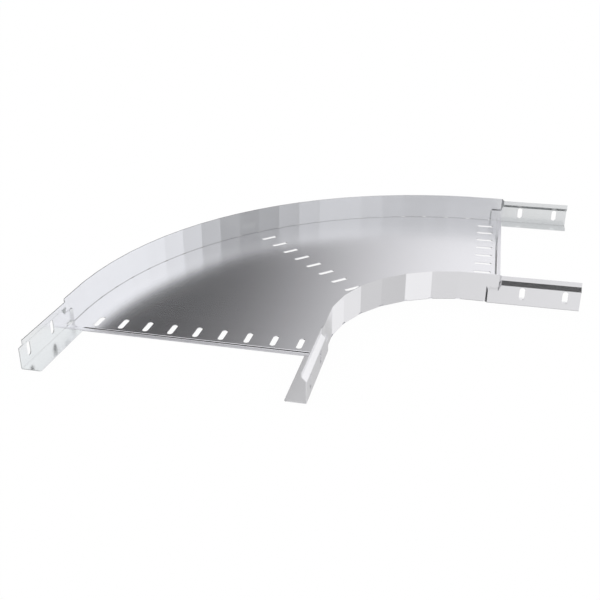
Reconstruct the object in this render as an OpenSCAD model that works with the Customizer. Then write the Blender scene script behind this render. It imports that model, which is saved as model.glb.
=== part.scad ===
// Cable tray bend, 90 degrees, in perforated sheet steel.
// A base plate lies on the notched flanges of two side walls that are folded flat by flat
// round the curve. Each wall ends in a formed connector that takes the next length of tray.

/* [Tray] */
// Width of the tray run, measured over the backs of its side walls
tray_w = 500; // [400:50:600]
// Radius of the curve at the back of the inner wall
bend_r = 250; // [200:50:300]
// Height of the side walls
wall_h = 62; // [60:1:85]
// Thickness of the sheet
sheet_t = 1.5; // [1.2:0.1:1.6]

/* [Wall folds] */
// Number of folds in the outer wall
outer_folds = 21; // [17:2:25]
// Number of folds in the inner wall
inner_folds = 7; // [5:2:9]
// Width of the relief notch under each fold
notch_w = 9; // [7:0.5:12]
// Height of the relief notch above the floor of the tray
notch_up = 1; // [0.5:0.25:2]
// Width of the wall flanges that carry the base plate
flange_w = 20; // [14:1:25]
// Inside radius of the bends in the walls
bend_ri = 0.5; // [0.3:0.1:0.6]
// Thickness that the sheet loses where its feet and connectors are formed
form_loss = 0.02; // [0.01:0.01:0.05]

/* [Base plate] */
// Gap between the edge of the base plate and the walls
plate_fit = 0.5; // [0.4:0.1:0.8]
// Gap on each side of the plate's tongues in the relief notches
tongue_fit = 0.5; // [0.3:0.1:1]
// Width of the slots
slot_w = 11; // [8:0.5:13]
// Length of the slots
slot_l = 39; // [30:1:42]
// Pitch of the slots across the tray
slot_pitch = 50; // [40:5:60]
// Distance of the end slot rows beyond the start of the curve
row_x = 17.5; // [15:0.5:20]
// Distance of the step in the base plate beyond the start of the curve
step_x = 43; // [41:0.5:45]
// Length of the step
step_run = 7.5; // [6.5:0.5:8.5]
// Inside radius of the bends in the step
step_ri = 6; // [3:0.5:6.5]
// Distance of the edge of the base plate beyond the start of the curve
lip_x = 57; // [54:1:61]

/* [Connectors] */
// Distance beyond the start of the curve at which the lower wall is pressed outward
press_x = 27; // [24:0.5:28]
// Length of the pressed step
press_run = 3.5; // [3:0.5:5]
// Distance beyond the start of the curve at which the wall begins to change into the connector
wall_x = 50; // [46:1:52]
// Length over which the wall changes into the connector
change_run = 6; // [5:1:10]
// Distance of the connector end beyond the start of the curve
conn_x = 211; // [200:1:230]
// Distance by which the connectors of the outer wall reach further than those of the inner wall
outer_more = 3; // [0:0.5:5]
// Distance of the connector web outside the back of the wall
web_out = 4.2; // [3:0.1:5]
// Distance of the top strip of the connector inside its web
strip_in = 8.4; // [6:0.2:10]
// Height of the connector
conn_h = 58.4; // [55:0.1:59]
// Height at which the connector web turns inward
web_h = 40.7; // [39.5:0.1:42]
// Height at which the wall turns outward into the web
shoulder_h = 29; // [26:0.5:32]
// Height of the sloping shoulder between the web and the wall
shoulder_rise = 5.6; // [4.6:0.2:7]
// Width of the connector flange
foot_w = 38; // [30:1:45]
// Corner radius at the end of the connector flange
foot_r = 4; // [2:0.5:6]
// Distance of the first upright slot beyond the start of the curve
tall_x = 98; // [90:1:110]
// Pitch of the two upright slots
tall_pitch = 83.5; // [70:0.5:90]
// Width of the upright slots
tall_w = 11; // [8:0.5:13]
// Height of the lower end of the upright slots
tall_z0 = 13; // [11:0.5:16]
// Height of the upper end of the upright slots
tall_z1 = 39.5; // [37:0.5:40]
// Gap between the ends of the plate lip and the connector webs
lip_fit = 0.7; // [0.4:0.1:1.2]

/* [Hidden] */
$fn = 48;
t = sheet_t;
eps = 0.5;
// length by which the connector sheet runs into the wall
lap = 1;
arc_n = 4;
// parts of the way at which a formed change of section is drawn
blend = [0.15, 0.5, 0.85];
form_t = t - form_loss;
// levels of the stacked sheets
z_base = t;
z_floor = 2*t;
wall_top = wall_h;
notch_top = z_floor + notch_up;
// walls, by the distance of their flats from the centre of the curve
out_r = bend_r + tray_w;
mid_r = bend_r + tray_w/2;
web_r = out_r + web_out - form_t/2;
strip_r = web_r - strip_in;
slope_rise = 8.2;
strip_z = web_h + slope_rise;
shoulder_in = web_r - (out_r - t/2);
press_end = press_x + press_run;
foot_end = press_x - 3;
change_x = wall_x + change_run;
// slots across the base plate
slot_n = floor((tray_w - 2*slot_pitch + 0.01)/slot_pitch) + 1;
slot_r0 = mid_r - (slot_n - 1)*slot_pitch/2;
// the middle of the box round the part comes to the origin
centre = (out_r + web_out - conn_x - outer_more)/2;

// heading of a line and turn between two lines, in degrees
function heading(a, b) = atan2(b[1] - a[1], b[0] - a[0]);
function wrap(d) = d > 180 ? d - 360 : d < -180 ? d + 360 : d;
function turn(a, b, c) = wrap(heading(b, c) - heading(a, b));
function left(ang) = [-sin(ang), cos(ang)];
function backward(v) = [for (i = [len(v) - 1 : -1 : 0]) v[i]];

// one side of a bent strip, h to the left of its middle line, which bends to the radius rm
function bend_side(a, b, c, h, rm) =
    let (u = heading(a, b), w = turn(a, b, c), s = sign(w))
    let (q = b - rm*tan(abs(w)/2)*[cos(u), sin(u)], m = q + s*rm*left(u))
    [for (i = [0 : arc_n]) m + (h - s*rm)*left(u + w*i/arc_n)];
function strip_side(p, h, rm) =
    let (n = len(p) - 1)
    concat(
        [p[0] + h*left(heading(p[0], p[1]))],
        [for (i = [1 : n - 1]) each bend_side(p[i - 1], p[i], p[i + 1], h, rm)],
        [p[n] + h*left(heading(p[n - 1], p[n]))]
    );
function strip_outline(p, w, ri) =
    concat(strip_side(p, w/2, ri + w/2), backward(strip_side(p, -w/2, ri + w/2)));

// line of flats round the curve, r from its centre, with straight ends
function flats(r, n, ext) = concat(
    [[-r, -ext]],
    [for (k = [0 : n - 1]) r/cos(45/n)*[-cos((k + 0.5)*90/n), sin((k + 0.5)*90/n)]],
    [[ext, r]]
);
function ring(r0, n0, r1, n1, ext) = concat(flats(r1, n1, ext), backward(flats(r0, n0, ext)));

// middle lines of the connector behind the pressed step and at its outer end
wall_line = [
    [web_r + form_t/2 - foot_w, form_t/2],
    [web_r, form_t/2],
    [web_r, shoulder_h],
    [web_r - shoulder_in, shoulder_h + shoulder_rise],
    [web_r - shoulder_in, wall_top]
];
conn_line = [
    [web_r + form_t/2 - foot_w, form_t/2],
    [web_r, form_t/2],
    [web_r, web_h],
    [strip_r, strip_z],
    [strip_r, conn_h]
];

// one side of the sheet where it is still flush with the wall, at the heights of wall_line
function plain_side(h) =
    let (s = strip_side(wall_line, h, bend_ri + form_t/2), flush = s[len(s) - 1][0])
    [
        for (i = [0 : len(s) - 1])
            i == 0 ? s[i] : i < arc_n + 2 ? s[i] - [shoulder_in, 0] : [flush, s[i][1]]
    ];
plain_section = concat(plain_side(form_t/2), backward(plain_side(-form_t/2)));
wall_section = strip_outline(wall_line, form_t, bend_ri);
conn_section = strip_outline(conn_line, form_t, bend_ri);

// section at distance x, part f of the way from one section to the next
function section(x, a, b, f) =
    let (g = f*f*(3 - 2*f))
    [for (i = [0 : len(a) - 1]) [x, each a[i]*(1 - g) + b[i]*g]];

// slot with round ends, standing on its middle, long side along x
module slot_2d(l, w) {
    square([l - w, w], center = true);
    for (s = [-1, 1]) {
        translate([s*(l - w)/2, 0]) circle(d = w);
    }
}

// profile drawn as [distance from the centre, height], run along x from x0 to x1
module along_x(x0, x1) {
    translate([x0, 0, 0])
        rotate([90, 0, 90])
            linear_extrude(x1 - x0) children();
}

// sheet of the connector, formed from the flat of the wall into the section at its end
module connector_sheet(more) {
    sections = concat(
        [section(press_x - lap, plain_section, wall_section, 0)],
        [section(press_x, plain_section, wall_section, 0)],
        [section(press_end, plain_section, wall_section, 1)],
        [section(wall_x + more, wall_section, conn_section, 0)],
        [for (f = blend) section(wall_x + more + f*change_run, wall_section, conn_section, f)],
        [section(change_x + more, wall_section, conn_section, 1)],
        [section(conn_x + more, wall_section, conn_section, 1)]
    );
    last = len(sections) - 1;
    n = len(wall_section);
    half = n/2;
    polyhedron(
        points = [for (part = sections) each part],
        faces = concat(
            [for (i = [0 : half - 2]) [i + 1, i, n - 1 - i]],
            [for (i = [0 : half - 2]) [i + 1, n - 1 - i, n - 2 - i]],
            [
                for (j = [0 : last - 1], i = [0 : n - 1])
                    [j*n + i, j*n + (i + 1)%n, j*n + n + (i + 1)%n]
            ],
            [
                for (j = [0 : last - 1], i = [0 : n - 1])
                    [j*n + i, j*n + n + (i + 1)%n, j*n + n + i]
            ],
            [for (i = [0 : half - 2]) last*n*[1, 1, 1] + [i, i + 1, n - 1 - i]],
            [for (i = [0 : half - 2]) last*n*[1, 1, 1] + [i + 1, n - 2 - i, n - 1 - i]]
        )
    );
}

// room for the lip of the base plate, cut out of the connector flange
module lip_room() {
    face = web_r - form_t/2 - bend_ri;
    back = face - foot_w;
    x0 = press_x - lap - eps;
    x1 = lip_x + lip_fit;
    translate([0, 0, -eps])
        linear_extrude(t + bend_ri + eps)
            polygon([
                [x0, back],
                [x1, back],
                [x1, face],
                [press_end, face],
                [press_x, face - shoulder_in],
                [x0, face - shoulder_in]
            ]);
}

// connector on the outer wall at the right-hand end
module connector(more) {
    difference() {
        connector_sheet(more);
        for (i = [0, 1]) {
            translate([tall_x + more + i*tall_pitch, out_r + 10, (tall_z0 + tall_z1)/2])
                rotate([90, 90, 0])
                    linear_extrude(25) slot_2d(tall_z1 - tall_z0, tall_w);
        }
        lip_room();
        translate([conn_x + more - foot_r, web_r + form_t/2 - foot_w + foot_r, -eps])
            linear_extrude(t + 2*eps)
                difference() {
                    translate([0, -foot_r - eps]) square([foot_r + eps, foot_r + eps]);
                    circle(r = foot_r);
                }
    }
}

// the same at both ends of the bend
module both_ends() {
    children();
    mirror([1, 1, 0]) children();
}

// upright sheet of a wall down to the tops of the notches, r0 to r0 + t from the centre
module wall_sheet(r0, n) {
    translate([0, 0, notch_top])
        linear_extrude(wall_top - notch_top) polygon(ring(r0, n, r0 + t, n, press_x));
}

// foot of one flat with its flange: s = -1 turns the flange to the centre, s = 1 away from it
module foot(r0, x0, x1, s) {
    m = r0 + t/2;
    z = z_base - form_t/2;
    line = [[m + s*(flange_w - t/2), z], [m, z], [m, notch_top + lap]];
    along_x(x0, x1) polygon(strip_outline(line, form_t, bend_ri));
}

// feet of all flats of a wall
module feet(r0, n, s) {
    half = (r0 + t/2)*tan(45/n) - notch_w/2;
    for (k = [0 : n]) {
        x0 = k == 0 ? -foot_end : -half;
        x1 = k == n ? foot_end : half;
        rotate([0, 0, 90 - k*90/n]) foot(r0, x0, x1, s);
    }
}

// tongues of the plate that reach through the relief notches of a wall, from r0 to r1
module tongues(r0, r1, n) {
    w = notch_w - 2*tongue_fit;
    for (k = [0 : n - 1]) {
        rotate(180 - (k + 0.5)*90/n) translate([r0, -w/2]) square([r1 - r0, w]);
    }
}

module base_plate() {
    color([0.74, 0.76, 0.77])
    translate([centre, -centre, 0]) {
        step_line = [
            [step_x, z_base + t/2],
            [step_x + step_run/4, z_base + t/2],
            [step_x + step_run*3/4, t/2],
            [lip_x, t/2]
        ];
        lip_r1 = web_r - form_t/2 - lip_fit;
        lip_r0 = 2*mid_r - lip_r1;
        translate([0, 0, z_base])
            linear_extrude(t)
                difference() {
                    union() {
                        polygon(ring(bend_r + t + plate_fit, inner_folds,
                            out_r - t - plate_fit, outer_folds, step_x));
                        tongues(out_r - 5, out_r, outer_folds);
                        tongues(bend_r + tongue_fit, bend_r + 5, inner_folds);
                    }
                    for (i = [0 : slot_n - 1]) {
                        r = slot_r0 + i*slot_pitch;
                        translate([row_x, r]) slot_2d(slot_l, slot_w);
                        translate([-r, -row_x]) rotate(90) slot_2d(slot_l, slot_w);
                        rotate(135) translate([r, 0]) rotate(90) slot_2d(slot_l, slot_w);
                    }
                }
        both_ends()
            translate([0, lip_r1, 0])
                rotate([90, 0, 0])
                    linear_extrude(lip_r1 - lip_r0) polygon(strip_outline(step_line, t, step_ri));
    }
}

module outer_wall() {
    color([0.80, 0.81, 0.82])
    translate([centre, -centre, 0]) {
        wall_sheet(out_r - t, outer_folds);
        feet(out_r - t, outer_folds, -1);
        both_ends() connector(outer_more);
    }
}

module inner_wall() {
    color([0.83, 0.84, 0.85])
    translate([centre, -centre, 0]) {
        wall_sheet(bend_r, inner_folds);
        feet(bend_r, inner_folds, 1);
        both_ends()
            translate([0, 2*mid_r, 0]) mirror([0, 1, 0]) connector(0);
    }
}

base_plate();
outer_wall();
inner_wall();
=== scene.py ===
"""Cable tray bend: finishes for the three sheet pieces, the camera and a plain pale studio."""

import math

import bpy
from mathutils import Matrix, Vector

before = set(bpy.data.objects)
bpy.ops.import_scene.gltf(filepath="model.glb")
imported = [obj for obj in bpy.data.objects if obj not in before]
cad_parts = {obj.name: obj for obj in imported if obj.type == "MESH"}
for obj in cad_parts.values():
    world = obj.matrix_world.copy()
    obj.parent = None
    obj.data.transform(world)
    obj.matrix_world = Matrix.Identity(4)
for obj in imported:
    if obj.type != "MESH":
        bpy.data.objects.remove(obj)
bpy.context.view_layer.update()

# The camera stands in front of the bend, a little to the right, and looks down into it.
CAMERA_AT = Vector((0.26234, -1.57785, 0.71768))
CAMERA_TURN = math.radians(12.818)
CAMERA_DIP = math.radians(25.319)
CAMERA_ROLL = math.radians(0.153)
LENS_MM = 48.892
SENSOR_MM = 36.0

# The corner that the bend turns round, in the part's own frame.
CENTRE_X = 0.2701
CENTRE_Y = -0.2701

# Bright zinc: the tint of each sheet, and its tint where the coat bloomed.
BASE_TINT, BASE_BLOOM = (0.930, 0.924, 0.966), (0.908, 0.905, 0.944)
OUTER_TINT, OUTER_BLOOM = (0.926, 0.940, 0.950), (0.908, 0.922, 0.930)
INNER_TINT, INNER_BLOOM = (0.944, 0.940, 0.966), (0.926, 0.922, 0.946)
BLOOM_SIZE = 30.0

# Roughness of the sheets between the smooth and the rough lines of their rolled grain.
BASE_GLOSS = (0.242, 0.262)
WALL_GLOSS = (0.25, 0.271)
SMOOTH_GRAIN, ROUGH_GRAIN = 0.3, 0.7
GRAIN_ALONG, GRAIN_ACROSS = 4.0, 900.0
RIPPLE_STRENGTH = 0.02
RIPPLE_HEIGHT = 0.0001

# The step in the base plate, which the press tool polishes, and the duller lip beyond it.
# The places are distances beyond the start of the curve.
STEP_FROM, STEP_TO = 0.0425, 0.0435
STEP_ROUGHNESS = 0.12
LIP_FROM, LIP_TO = 0.0492, 0.0508
LIP_ROUGHNESS = 0.44

# The walls are duller where the pressed shoulders stretch the sheet, so that it leans downward a
# little. The leans are the heights of the face's normal.
STRETCHED_ROUGHNESS = 0.7
STRETCHED_FROM = (-0.2, -0.3)
STRETCHED_TO = (-0.48, -0.58)

# Painted shade: the sheet's colour is a little darker close in to folds and joints, by how far they
# close it in.
FOLD_REACH = 0.003
FOLD_SAMPLES = 8
FOLD_CLOSED, FOLD_OPEN = 0.35, 0.95
FOLD_DARK = 0.85

# The floor: its glow to the eye leaves a faint shadow.
FLOOR_SIZE = 60.0
FLOOR_DROP = 0.0003
FLOOR_GLOW = 0.97
WHITE = (1.0, 1.0, 1.0, 1.0)

# The studio that the metal mirrors, in degrees. Turn is the compass direction: 0 is along the
# part's Y, away from the camera, and 90 is along its X, to the right. Rise is the angle over the
# level. Pairs are soft edges. First its brightness by turn: above the level, below it, overhead.
ABOVE = ((-180, 0.735), (-165, 0.55), (-150, 0.08), (-112, 0.08), (-92, 0.60), (-72, 0.60),
         (-45, 0.24), (-28, 0.0), (-18.7, 0.0), (2.2, 0.94), (30, 1.0), (69.5, 1.0),
         (101.5, 0.32), (133, 0.78), (157, 0.585), (180, 0.735))
BELOW = ((-180, 0.725), (-165, 0.73), (-150, 0.60), (-132, 0.25), (-116, 0.0), (-84, 0.0),
         (-70, 0.25), (-60, 0.40), (-35, 0.30), (8, 0.47), (32, 0.92), (58, 0.87), (84, 0.65),
         (108, 0.563), (133, 0.99), (156, 0.672), (170, 0.87), (180, 0.725))
CEILING = ((-180, 0.0), (-152, 0.02), (-130, 0.40), (-100, 0.40), (-75, 0.02), (-8, 0.02),
           (20, 0.40), (60, 0.60), (100, 0.40), (128, 0.02), (150, 0.0), (180, 0.0))
EYE_LEVEL = (-6.0, 6.0)
CEILING_EDGE = (51.0, 60.0)
UNDERFOOT_EDGE = (-80.0, -62.0)
UNDERFOOT_LEVEL = 0.10
# What counts as ahead of the camera, and how far the dark screen there leans, in turn for each
# degree of rise.
AHEAD_EDGE = (60.0, 90.0)
LEAN_FROM = 26.0
SCREEN_LEAN = 0.9
# A light strip over the dark screen. Its upper edge slopes with the turn.
STRIP_FOOT = (38.0, 42.0)
STRIP_TOP = (71.5, 74.5)
STRIP_SLOPE = 0.4
# A lamp behind the camera: its rise, its half height and its sides.
LAMP_RISE = 44.5
LAMP_EDGE = (5.0, 7.0)
LAMP_SIDE = (140.0, 155.0)
# A grey band ahead: its rise, its half height, its two ends and how much it darkens.
BAND_RISE = 8.0
BAND_EDGE = (11.0, 14.0)
BAND_LEFT = (3.0, 7.0)
BAND_RIGHT = (20.0, 24.0)
BAND_DEPTH = 0.76


# Small helpers for node trees

def add(tree, kind, **settings):
    """Adds a node with the given settings."""
    made = tree.nodes.new(kind)
    for name, value in settings.items():
        setattr(made, name, value)
    return made


def feed(tree, source, target):
    """Joins an output to an input, or puts a plain number or colour on the input."""
    if isinstance(source, bpy.types.NodeSocket):
        tree.links.new(source, target)
    else:
        target.default_value = source


def sums(tree, operation, *values):
    """One Math node on sockets or numbers."""
    made = add(tree, "ShaderNodeMath", operation=operation)
    for value, socket in zip(values, made.inputs):
        feed(tree, value, socket)
    return made.outputs[0]


def soft_step(tree, value, start, end, low=0.0, high=1.0, course="SMOOTHSTEP"):
    """Goes from low to high as value goes from start to end."""
    made = add(tree, "ShaderNodeMapRange", interpolation_type=course)
    for name, given in (("Value", value), ("From Min", start), ("From Max", end),
                        ("To Min", low), ("To Max", high)):
        feed(tree, given, made.inputs[name])
    return made.outputs["Result"]


def blend(tree, share, first, second):
    """A value between first and second."""
    made = add(tree, "ShaderNodeMix", data_type="FLOAT")
    for value, socket in ((share, made.inputs["Factor"]), (first, made.inputs[2]),
                          (second, made.inputs[3])):
        feed(tree, value, socket)
    return made.outputs[0]


def blend_colours(tree, share, first, second, blend_type="MIX"):
    """A colour between first and second, or their product."""
    made = add(tree, "ShaderNodeMix", data_type="RGBA", blend_type=blend_type)
    for value, socket in ((share, made.inputs["Factor"]), (first, made.inputs[6]),
                          (second, made.inputs[7])):
        feed(tree, value, socket)
    return made.outputs[2]


def split_place(tree, place):
    """The three parts of a place or a direction."""
    made = add(tree, "ShaderNodeSeparateXYZ")
    tree.links.new(place, made.inputs[0])
    return made.outputs


def join_place(tree, *parts):
    """A place from its three parts."""
    made = add(tree, "ShaderNodeCombineXYZ")
    for part, socket in zip(parts, made.inputs):
        feed(tree, part, socket)
    return made.outputs[0]


def new_group(name, inputs, outputs):
    """An empty shader group with its sockets, and the tree's ends."""
    tree = bpy.data.node_groups.new(name, "ShaderNodeTree")
    for label, kind, value in inputs:
        socket = tree.interface.new_socket(label, in_out="INPUT", socket_type=kind)
        if value is not None:
            socket.default_value = value
    for label, kind in outputs:
        tree.interface.new_socket(label, in_out="OUTPUT", socket_type=kind)
    return tree, tree.nodes.new("NodeGroupInput"), tree.nodes.new("NodeGroupOutput")


def place_group(tree, group, **values):
    """Puts a group in a material, with its own values for the named inputs."""
    made = add(tree, "ShaderNodeGroup", node_tree=group)
    for name, value in values.items():
        feed(tree, value, made.inputs[name.capitalize()])
    return made.outputs[0]


# Camera

def make_camera():
    """The camera at the photograph's viewing angle."""
    data = bpy.data.cameras.new("camera")
    data.lens = LENS_MM
    data.sensor_width = SENSOR_MM
    camera = bpy.data.objects.new("camera", data)
    camera.matrix_world = (
        Matrix.Translation(CAMERA_AT)
        @ Matrix.Rotation(CAMERA_TURN, 4, "Z")
        @ Matrix.Rotation(math.pi / 2 - CAMERA_DIP, 4, "X")
        @ Matrix.Rotation(CAMERA_ROLL, 4, "Z")
    )
    bpy.context.scene.collection.objects.link(camera)
    bpy.context.scene.camera = camera


# Finishes

def rolled_grain_group():
    """Fine lines that the mill rolls leave along a sheet: straight, or round the curve on a wall."""
    tree, given, out = new_group(
        "rolled_grain",
        [("Place", "NodeSocketVector", None),
         ("Curved", "NodeSocketFloat", 0.0),
         ("Along", "NodeSocketFloat", GRAIN_ALONG),
         ("Across", "NodeSocketFloat", GRAIN_ACROSS)],
        [("Grain", "NodeSocketFloat")],
    )
    x, y, z = split_place(tree, given.outputs["Place"])
    right = sums(tree, "SUBTRACT", x, CENTRE_X)
    back = sums(tree, "SUBTRACT", y, CENTRE_Y)
    radius = sums(tree, "SQRT", sums(tree, "ADD", sums(tree, "MULTIPLY", right, right),
                                     sums(tree, "MULTIPLY", back, back)))
    arc = sums(tree, "MULTIPLY", sums(tree, "ARCTAN2", right, back), radius)
    length = blend(tree, given.outputs["Curved"], x, arc)
    width = blend(tree, given.outputs["Curved"], y, radius)
    lines = add(tree, "ShaderNodeTexNoise")
    lines.inputs["Scale"].default_value = 1.0
    lines.inputs["Detail"].default_value = 3.0
    lines.inputs["Roughness"].default_value = 0.6
    stretched = join_place(tree, sums(tree, "MULTIPLY", length, given.outputs["Along"]),
                           sums(tree, "MULTIPLY", width, given.outputs["Across"]),
                           sums(tree, "MULTIPLY", z, given.outputs["Across"]))
    tree.links.new(stretched, lines.inputs["Vector"])
    tree.links.new(lines.outputs["Fac"], out.inputs["Grain"])
    return tree


def zinc_bloom_group():
    """Soft clouds where the zinc coat set at a slightly different rate."""
    tree, given, out = new_group(
        "zinc_bloom",
        [("Place", "NodeSocketVector", None), ("Size", "NodeSocketFloat", BLOOM_SIZE)],
        [("Bloom", "NodeSocketFloat")],
    )
    clouds = add(tree, "ShaderNodeTexNoise")
    clouds.inputs["Detail"].default_value = 4.0
    clouds.inputs["Roughness"].default_value = 0.55
    tree.links.new(given.outputs["Place"], clouds.inputs["Vector"])
    tree.links.new(given.outputs["Size"], clouds.inputs["Scale"])
    tree.links.new(clouds.outputs["Fac"], out.inputs["Bloom"])
    return tree


def fold_shade_group():
    """Painted shade: close in to folds and joints the sheet's colour is darker. 1 is open sheet."""
    tree, given, out = new_group(
        "fold_shade",
        [("Reach", "NodeSocketFloat", FOLD_REACH)],
        [("Shade", "NodeSocketFloat")],
    )
    near = add(tree, "ShaderNodeAmbientOcclusion", samples=FOLD_SAMPLES)
    tree.links.new(given.outputs["Reach"], near.inputs["Distance"])
    shade = soft_step(tree, near.outputs["AO"], FOLD_CLOSED, FOLD_OPEN, FOLD_DARK, 1.0)
    tree.links.new(shade, out.inputs["Shade"])
    return tree


def stretched_sheet_group():
    """Dulls the stretched sheet of the pressed shoulders, by how far a face leans downward."""
    tree, given, out = new_group(
        "stretched_sheet",
        [("Gloss", "NodeSocketFloat", WALL_GLOSS[0]),
         ("Dull", "NodeSocketFloat", STRETCHED_ROUGHNESS)],
        [("Roughness", "NodeSocketFloat")],
    )
    gloss, dull = given.outputs["Gloss"], given.outputs["Dull"]
    facing = split_place(tree, add(tree, "ShaderNodeNewGeometry").outputs["True Normal"])
    dulled = soft_step(tree, facing[2], *STRETCHED_FROM, gloss, dull)
    dulled = soft_step(tree, facing[2], *STRETCHED_TO, dulled, gloss)
    tree.links.new(dulled, out.inputs["Roughness"])
    return tree


GRAIN = rolled_grain_group()
BLOOM = zinc_bloom_group()
FOLD = fold_shade_group()
STRETCHED = stretched_sheet_group()


def base_roughness(tree, place, gloss):
    """The base plate's roughness, with the polished step and the duller lip at each end."""
    x, y, _ = split_place(tree, place)
    right = sums(tree, "SUBTRACT", x, CENTRE_X)
    front = sums(tree, "SUBTRACT", CENTRE_Y, y)
    beyond = sums(tree, "MAXIMUM", right, front)
    gloss = soft_step(tree, beyond, STEP_FROM, STEP_TO, gloss, STEP_ROUGHNESS)
    return soft_step(tree, beyond, LIP_FROM, LIP_TO, gloss, LIP_ROUGHNESS)


def sheet_finish(name, tint, bloom_tint, gloss_range, is_wall):
    """Bright zinc-coated sheet. The bloom varies its colour and the grain its gloss, and painted
    shade darkens the colour close in to folds and joints.
    """
    material = bpy.data.materials.new(name)
    material.use_nodes = True
    tree = material.node_tree
    metal = tree.nodes["Principled BSDF"]
    metal.inputs["Metallic"].default_value = 1.0
    place = add(tree, "ShaderNodeTexCoord").outputs["Object"]
    grain = place_group(tree, GRAIN, place=place, curved=float(is_wall))
    bloom = place_group(tree, BLOOM, place=place)
    coat = blend_colours(tree, bloom, (*tint, 1.0), (*bloom_tint, 1.0))
    # painted shade: the colour is darkened close in to folds and joints
    coat = blend_colours(tree, 1.0, coat, place_group(tree, FOLD), "MULTIPLY")
    tree.links.new(coat, metal.inputs["Base Color"])
    gloss = soft_step(tree, grain, SMOOTH_GRAIN, ROUGH_GRAIN, *gloss_range)
    if is_wall:
        gloss = place_group(tree, STRETCHED, gloss=gloss)
    else:
        gloss = base_roughness(tree, place, gloss)
    tree.links.new(gloss, metal.inputs["Roughness"])
    # the flats shade flat, with a slight ripple along the grain
    ripple = add(tree, "ShaderNodeBump")
    ripple.inputs["Strength"].default_value = RIPPLE_STRENGTH
    ripple.inputs["Distance"].default_value = RIPPLE_HEIGHT
    tree.links.new(grain, ripple.inputs["Height"])
    flat = add(tree, "ShaderNodeNewGeometry").outputs["True Normal"]
    tree.links.new(flat, ripple.inputs["Normal"])
    tree.links.new(ripple.outputs[0], metal.inputs["Normal"])
    return material


def dress_sheets():
    """Gives each of the three sheets its finish."""
    finishes = {
        "base_plate": sheet_finish("base_sheet_finish", BASE_TINT, BASE_BLOOM, BASE_GLOSS, False),
        "outer_wall": sheet_finish("outer_sheet_finish", OUTER_TINT, OUTER_BLOOM, WALL_GLOSS, True),
        "inner_wall": sheet_finish("inner_sheet_finish", INNER_TINT, INNER_BLOOM, WALL_GLOSS, True),
    }
    for node, finish in finishes.items():
        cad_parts[node].material_slots[0].material = finish


# Studio

def pale_floor():
    """White to the eye, with a faint shadow."""
    material = bpy.data.materials.new("pale_floor")
    material.use_nodes = True
    tree = material.node_tree
    tree.nodes.clear()
    paint = add(tree, "ShaderNodeBsdfDiffuse")
    paint.inputs["Color"].default_value = WHITE
    glow = add(tree, "ShaderNodeEmission")
    glow.inputs["Color"].default_value = WHITE
    path = add(tree, "ShaderNodeLightPath").outputs
    seen = sums(tree, "MAXIMUM", path["Is Camera Ray"], path["Is Transmission Ray"])
    mix = add(tree, "ShaderNodeMixShader")
    tree.links.new(sums(tree, "MULTIPLY", seen, FLOOR_GLOW), mix.inputs[0])
    tree.links.new(paint.outputs[0], mix.inputs[1])
    tree.links.new(glow.outputs[0], mix.inputs[2])
    end = add(tree, "ShaderNodeOutputMaterial")
    tree.links.new(mix.outputs[0], end.inputs["Surface"])
    return material


def make_floor():
    """A plain pale floor. It is hidden from reflections, so the metal mirrors the studio there."""
    half = FLOOR_SIZE / 2
    corners = [(x, y, -FLOOR_DROP) for x, y in ((-half, -half), (half, -half),
                                                (half, half), (-half, half))]
    mesh = bpy.data.meshes.new("floor")
    mesh.from_pydata(corners, [], [(0, 1, 2, 3)])
    mesh.materials.append(pale_floor())
    floor = bpy.data.objects.new("floor", mesh)
    floor.visible_glossy = False
    bpy.context.scene.collection.objects.link(floor)


def all_round(tree, turn, stops):
    """Brightness by turn, from a few stops with soft changes between them."""
    ramp = add(tree, "ShaderNodeValToRGB")
    ramp.color_ramp.interpolation = "EASE"
    points = ramp.color_ramp.elements
    while len(points) < len(stops):
        points.new(0.5)
    for point, (degrees, level) in zip(points, stops):
        point.position = (degrees + 180.0) / 360.0
        point.color = (level, level, level, 1.0)
    feed(tree, soft_step(tree, turn, -180.0, 180.0, course="LINEAR"), ramp.inputs["Fac"])
    return ramp.outputs["Color"]


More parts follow.
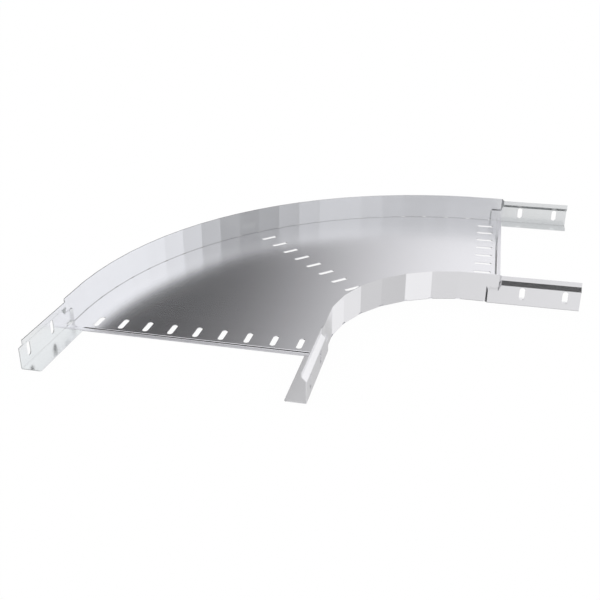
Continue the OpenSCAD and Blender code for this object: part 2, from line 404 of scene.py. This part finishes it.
def studio_brightness(tree, turn, rise):
    """What the metal mirrors: pale and dark screens all round, a light strip, a lamp and a band."""
    aside = sums(tree, "ABSOLUTE", turn)
    ahead = soft_step(tree, aside, *AHEAD_EDGE, 1.0, 0.0)
    # the dark screen leans to the left, so it gives way sooner higher up
    higher = sums(tree, "MAXIMUM", sums(tree, "SUBTRACT", rise, LEAN_FROM), 0.0)
    lean = sums(tree, "MULTIPLY", sums(tree, "MULTIPLY", higher, SCREEN_LEAN), ahead)
    above = all_round(tree, sums(tree, "ADD", turn, lean), ABOVE)
    overhead = soft_step(tree, rise, *CEILING_EDGE)
    above = blend(tree, overhead, above, all_round(tree, turn, CEILING))
    strip_top = sums(tree, "SUBTRACT", rise, sums(tree, "MULTIPLY", turn, STRIP_SLOPE))
    strip = sums(tree, "MULTIPLY", soft_step(tree, rise, *STRIP_FOOT),
                 soft_step(tree, strip_top, *STRIP_TOP, 1.0, 0.0))
    above = sums(tree, "MAXIMUM", above, sums(tree, "MULTIPLY", strip, ahead))
    off_lamp = sums(tree, "ABSOLUTE", sums(tree, "SUBTRACT", rise, LAMP_RISE))
    lamp = sums(tree, "MULTIPLY", soft_step(tree, off_lamp, *LAMP_EDGE, 1.0, 0.0),
                soft_step(tree, aside, *LAMP_SIDE))
    above = sums(tree, "MAXIMUM", above, lamp)
    below = sums(tree, "MULTIPLY", all_round(tree, turn, BELOW),
                 soft_step(tree, rise, *UNDERFOOT_EDGE, UNDERFOOT_LEVEL, 1.0))
    level = blend(tree, soft_step(tree, rise, *EYE_LEVEL), below, above)
    off_band = sums(tree, "ABSOLUTE", sums(tree, "SUBTRACT", rise, BAND_RISE))
    band = sums(tree, "MULTIPLY", soft_step(tree, off_band, *BAND_EDGE, BAND_DEPTH, 0.0),
                soft_step(tree, turn, *BAND_LEFT))
    band = sums(tree, "MULTIPLY", band, soft_step(tree, turn, *BAND_RIGHT, 1.0, 0.0))
    return sums(tree, "MULTIPLY", level, sums(tree, "SUBTRACT", 1.0, band))


def make_studio_light():
    """Soft white light from all sides. Only the metal's reflections show the studio's screens."""
    world = bpy.data.worlds.new("studio")
    bpy.context.scene.world = world
    world.use_nodes = True
    tree = world.node_tree
    tree.nodes.clear()
    x, y, z = split_place(tree, add(tree, "ShaderNodeTexCoord").outputs["Generated"])
    turn = sums(tree, "MULTIPLY", sums(tree, "ARCTAN2", x, y), math.degrees(1.0))
    rise = sums(tree, "MULTIPLY", sums(tree, "ARCSINE", z), math.degrees(1.0))
    brightness = studio_brightness(tree, turn, rise)
    screens = add(tree, "ShaderNodeBackground")
    tree.links.new(join_place(tree, brightness, brightness, brightness), screens.inputs["Color"])
    white = add(tree, "ShaderNodeBackground")
    white.inputs["Color"].default_value = WHITE
    mix = add(tree, "ShaderNodeMixShader")
    tree.links.new(add(tree, "ShaderNodeLightPath").outputs["Is Glossy Ray"], mix.inputs[0])
    tree.links.new(white.outputs[0], mix.inputs[1])
    tree.links.new(screens.outputs[0], mix.inputs[2])
    end = add(tree, "ShaderNodeOutputWorld")
    tree.links.new(mix.outputs[0], end.inputs["Surface"])


make_camera()
dress_sheets()
make_floor()
make_studio_light()
bpy.context.scene.view_settings.view_transform = "Standard"
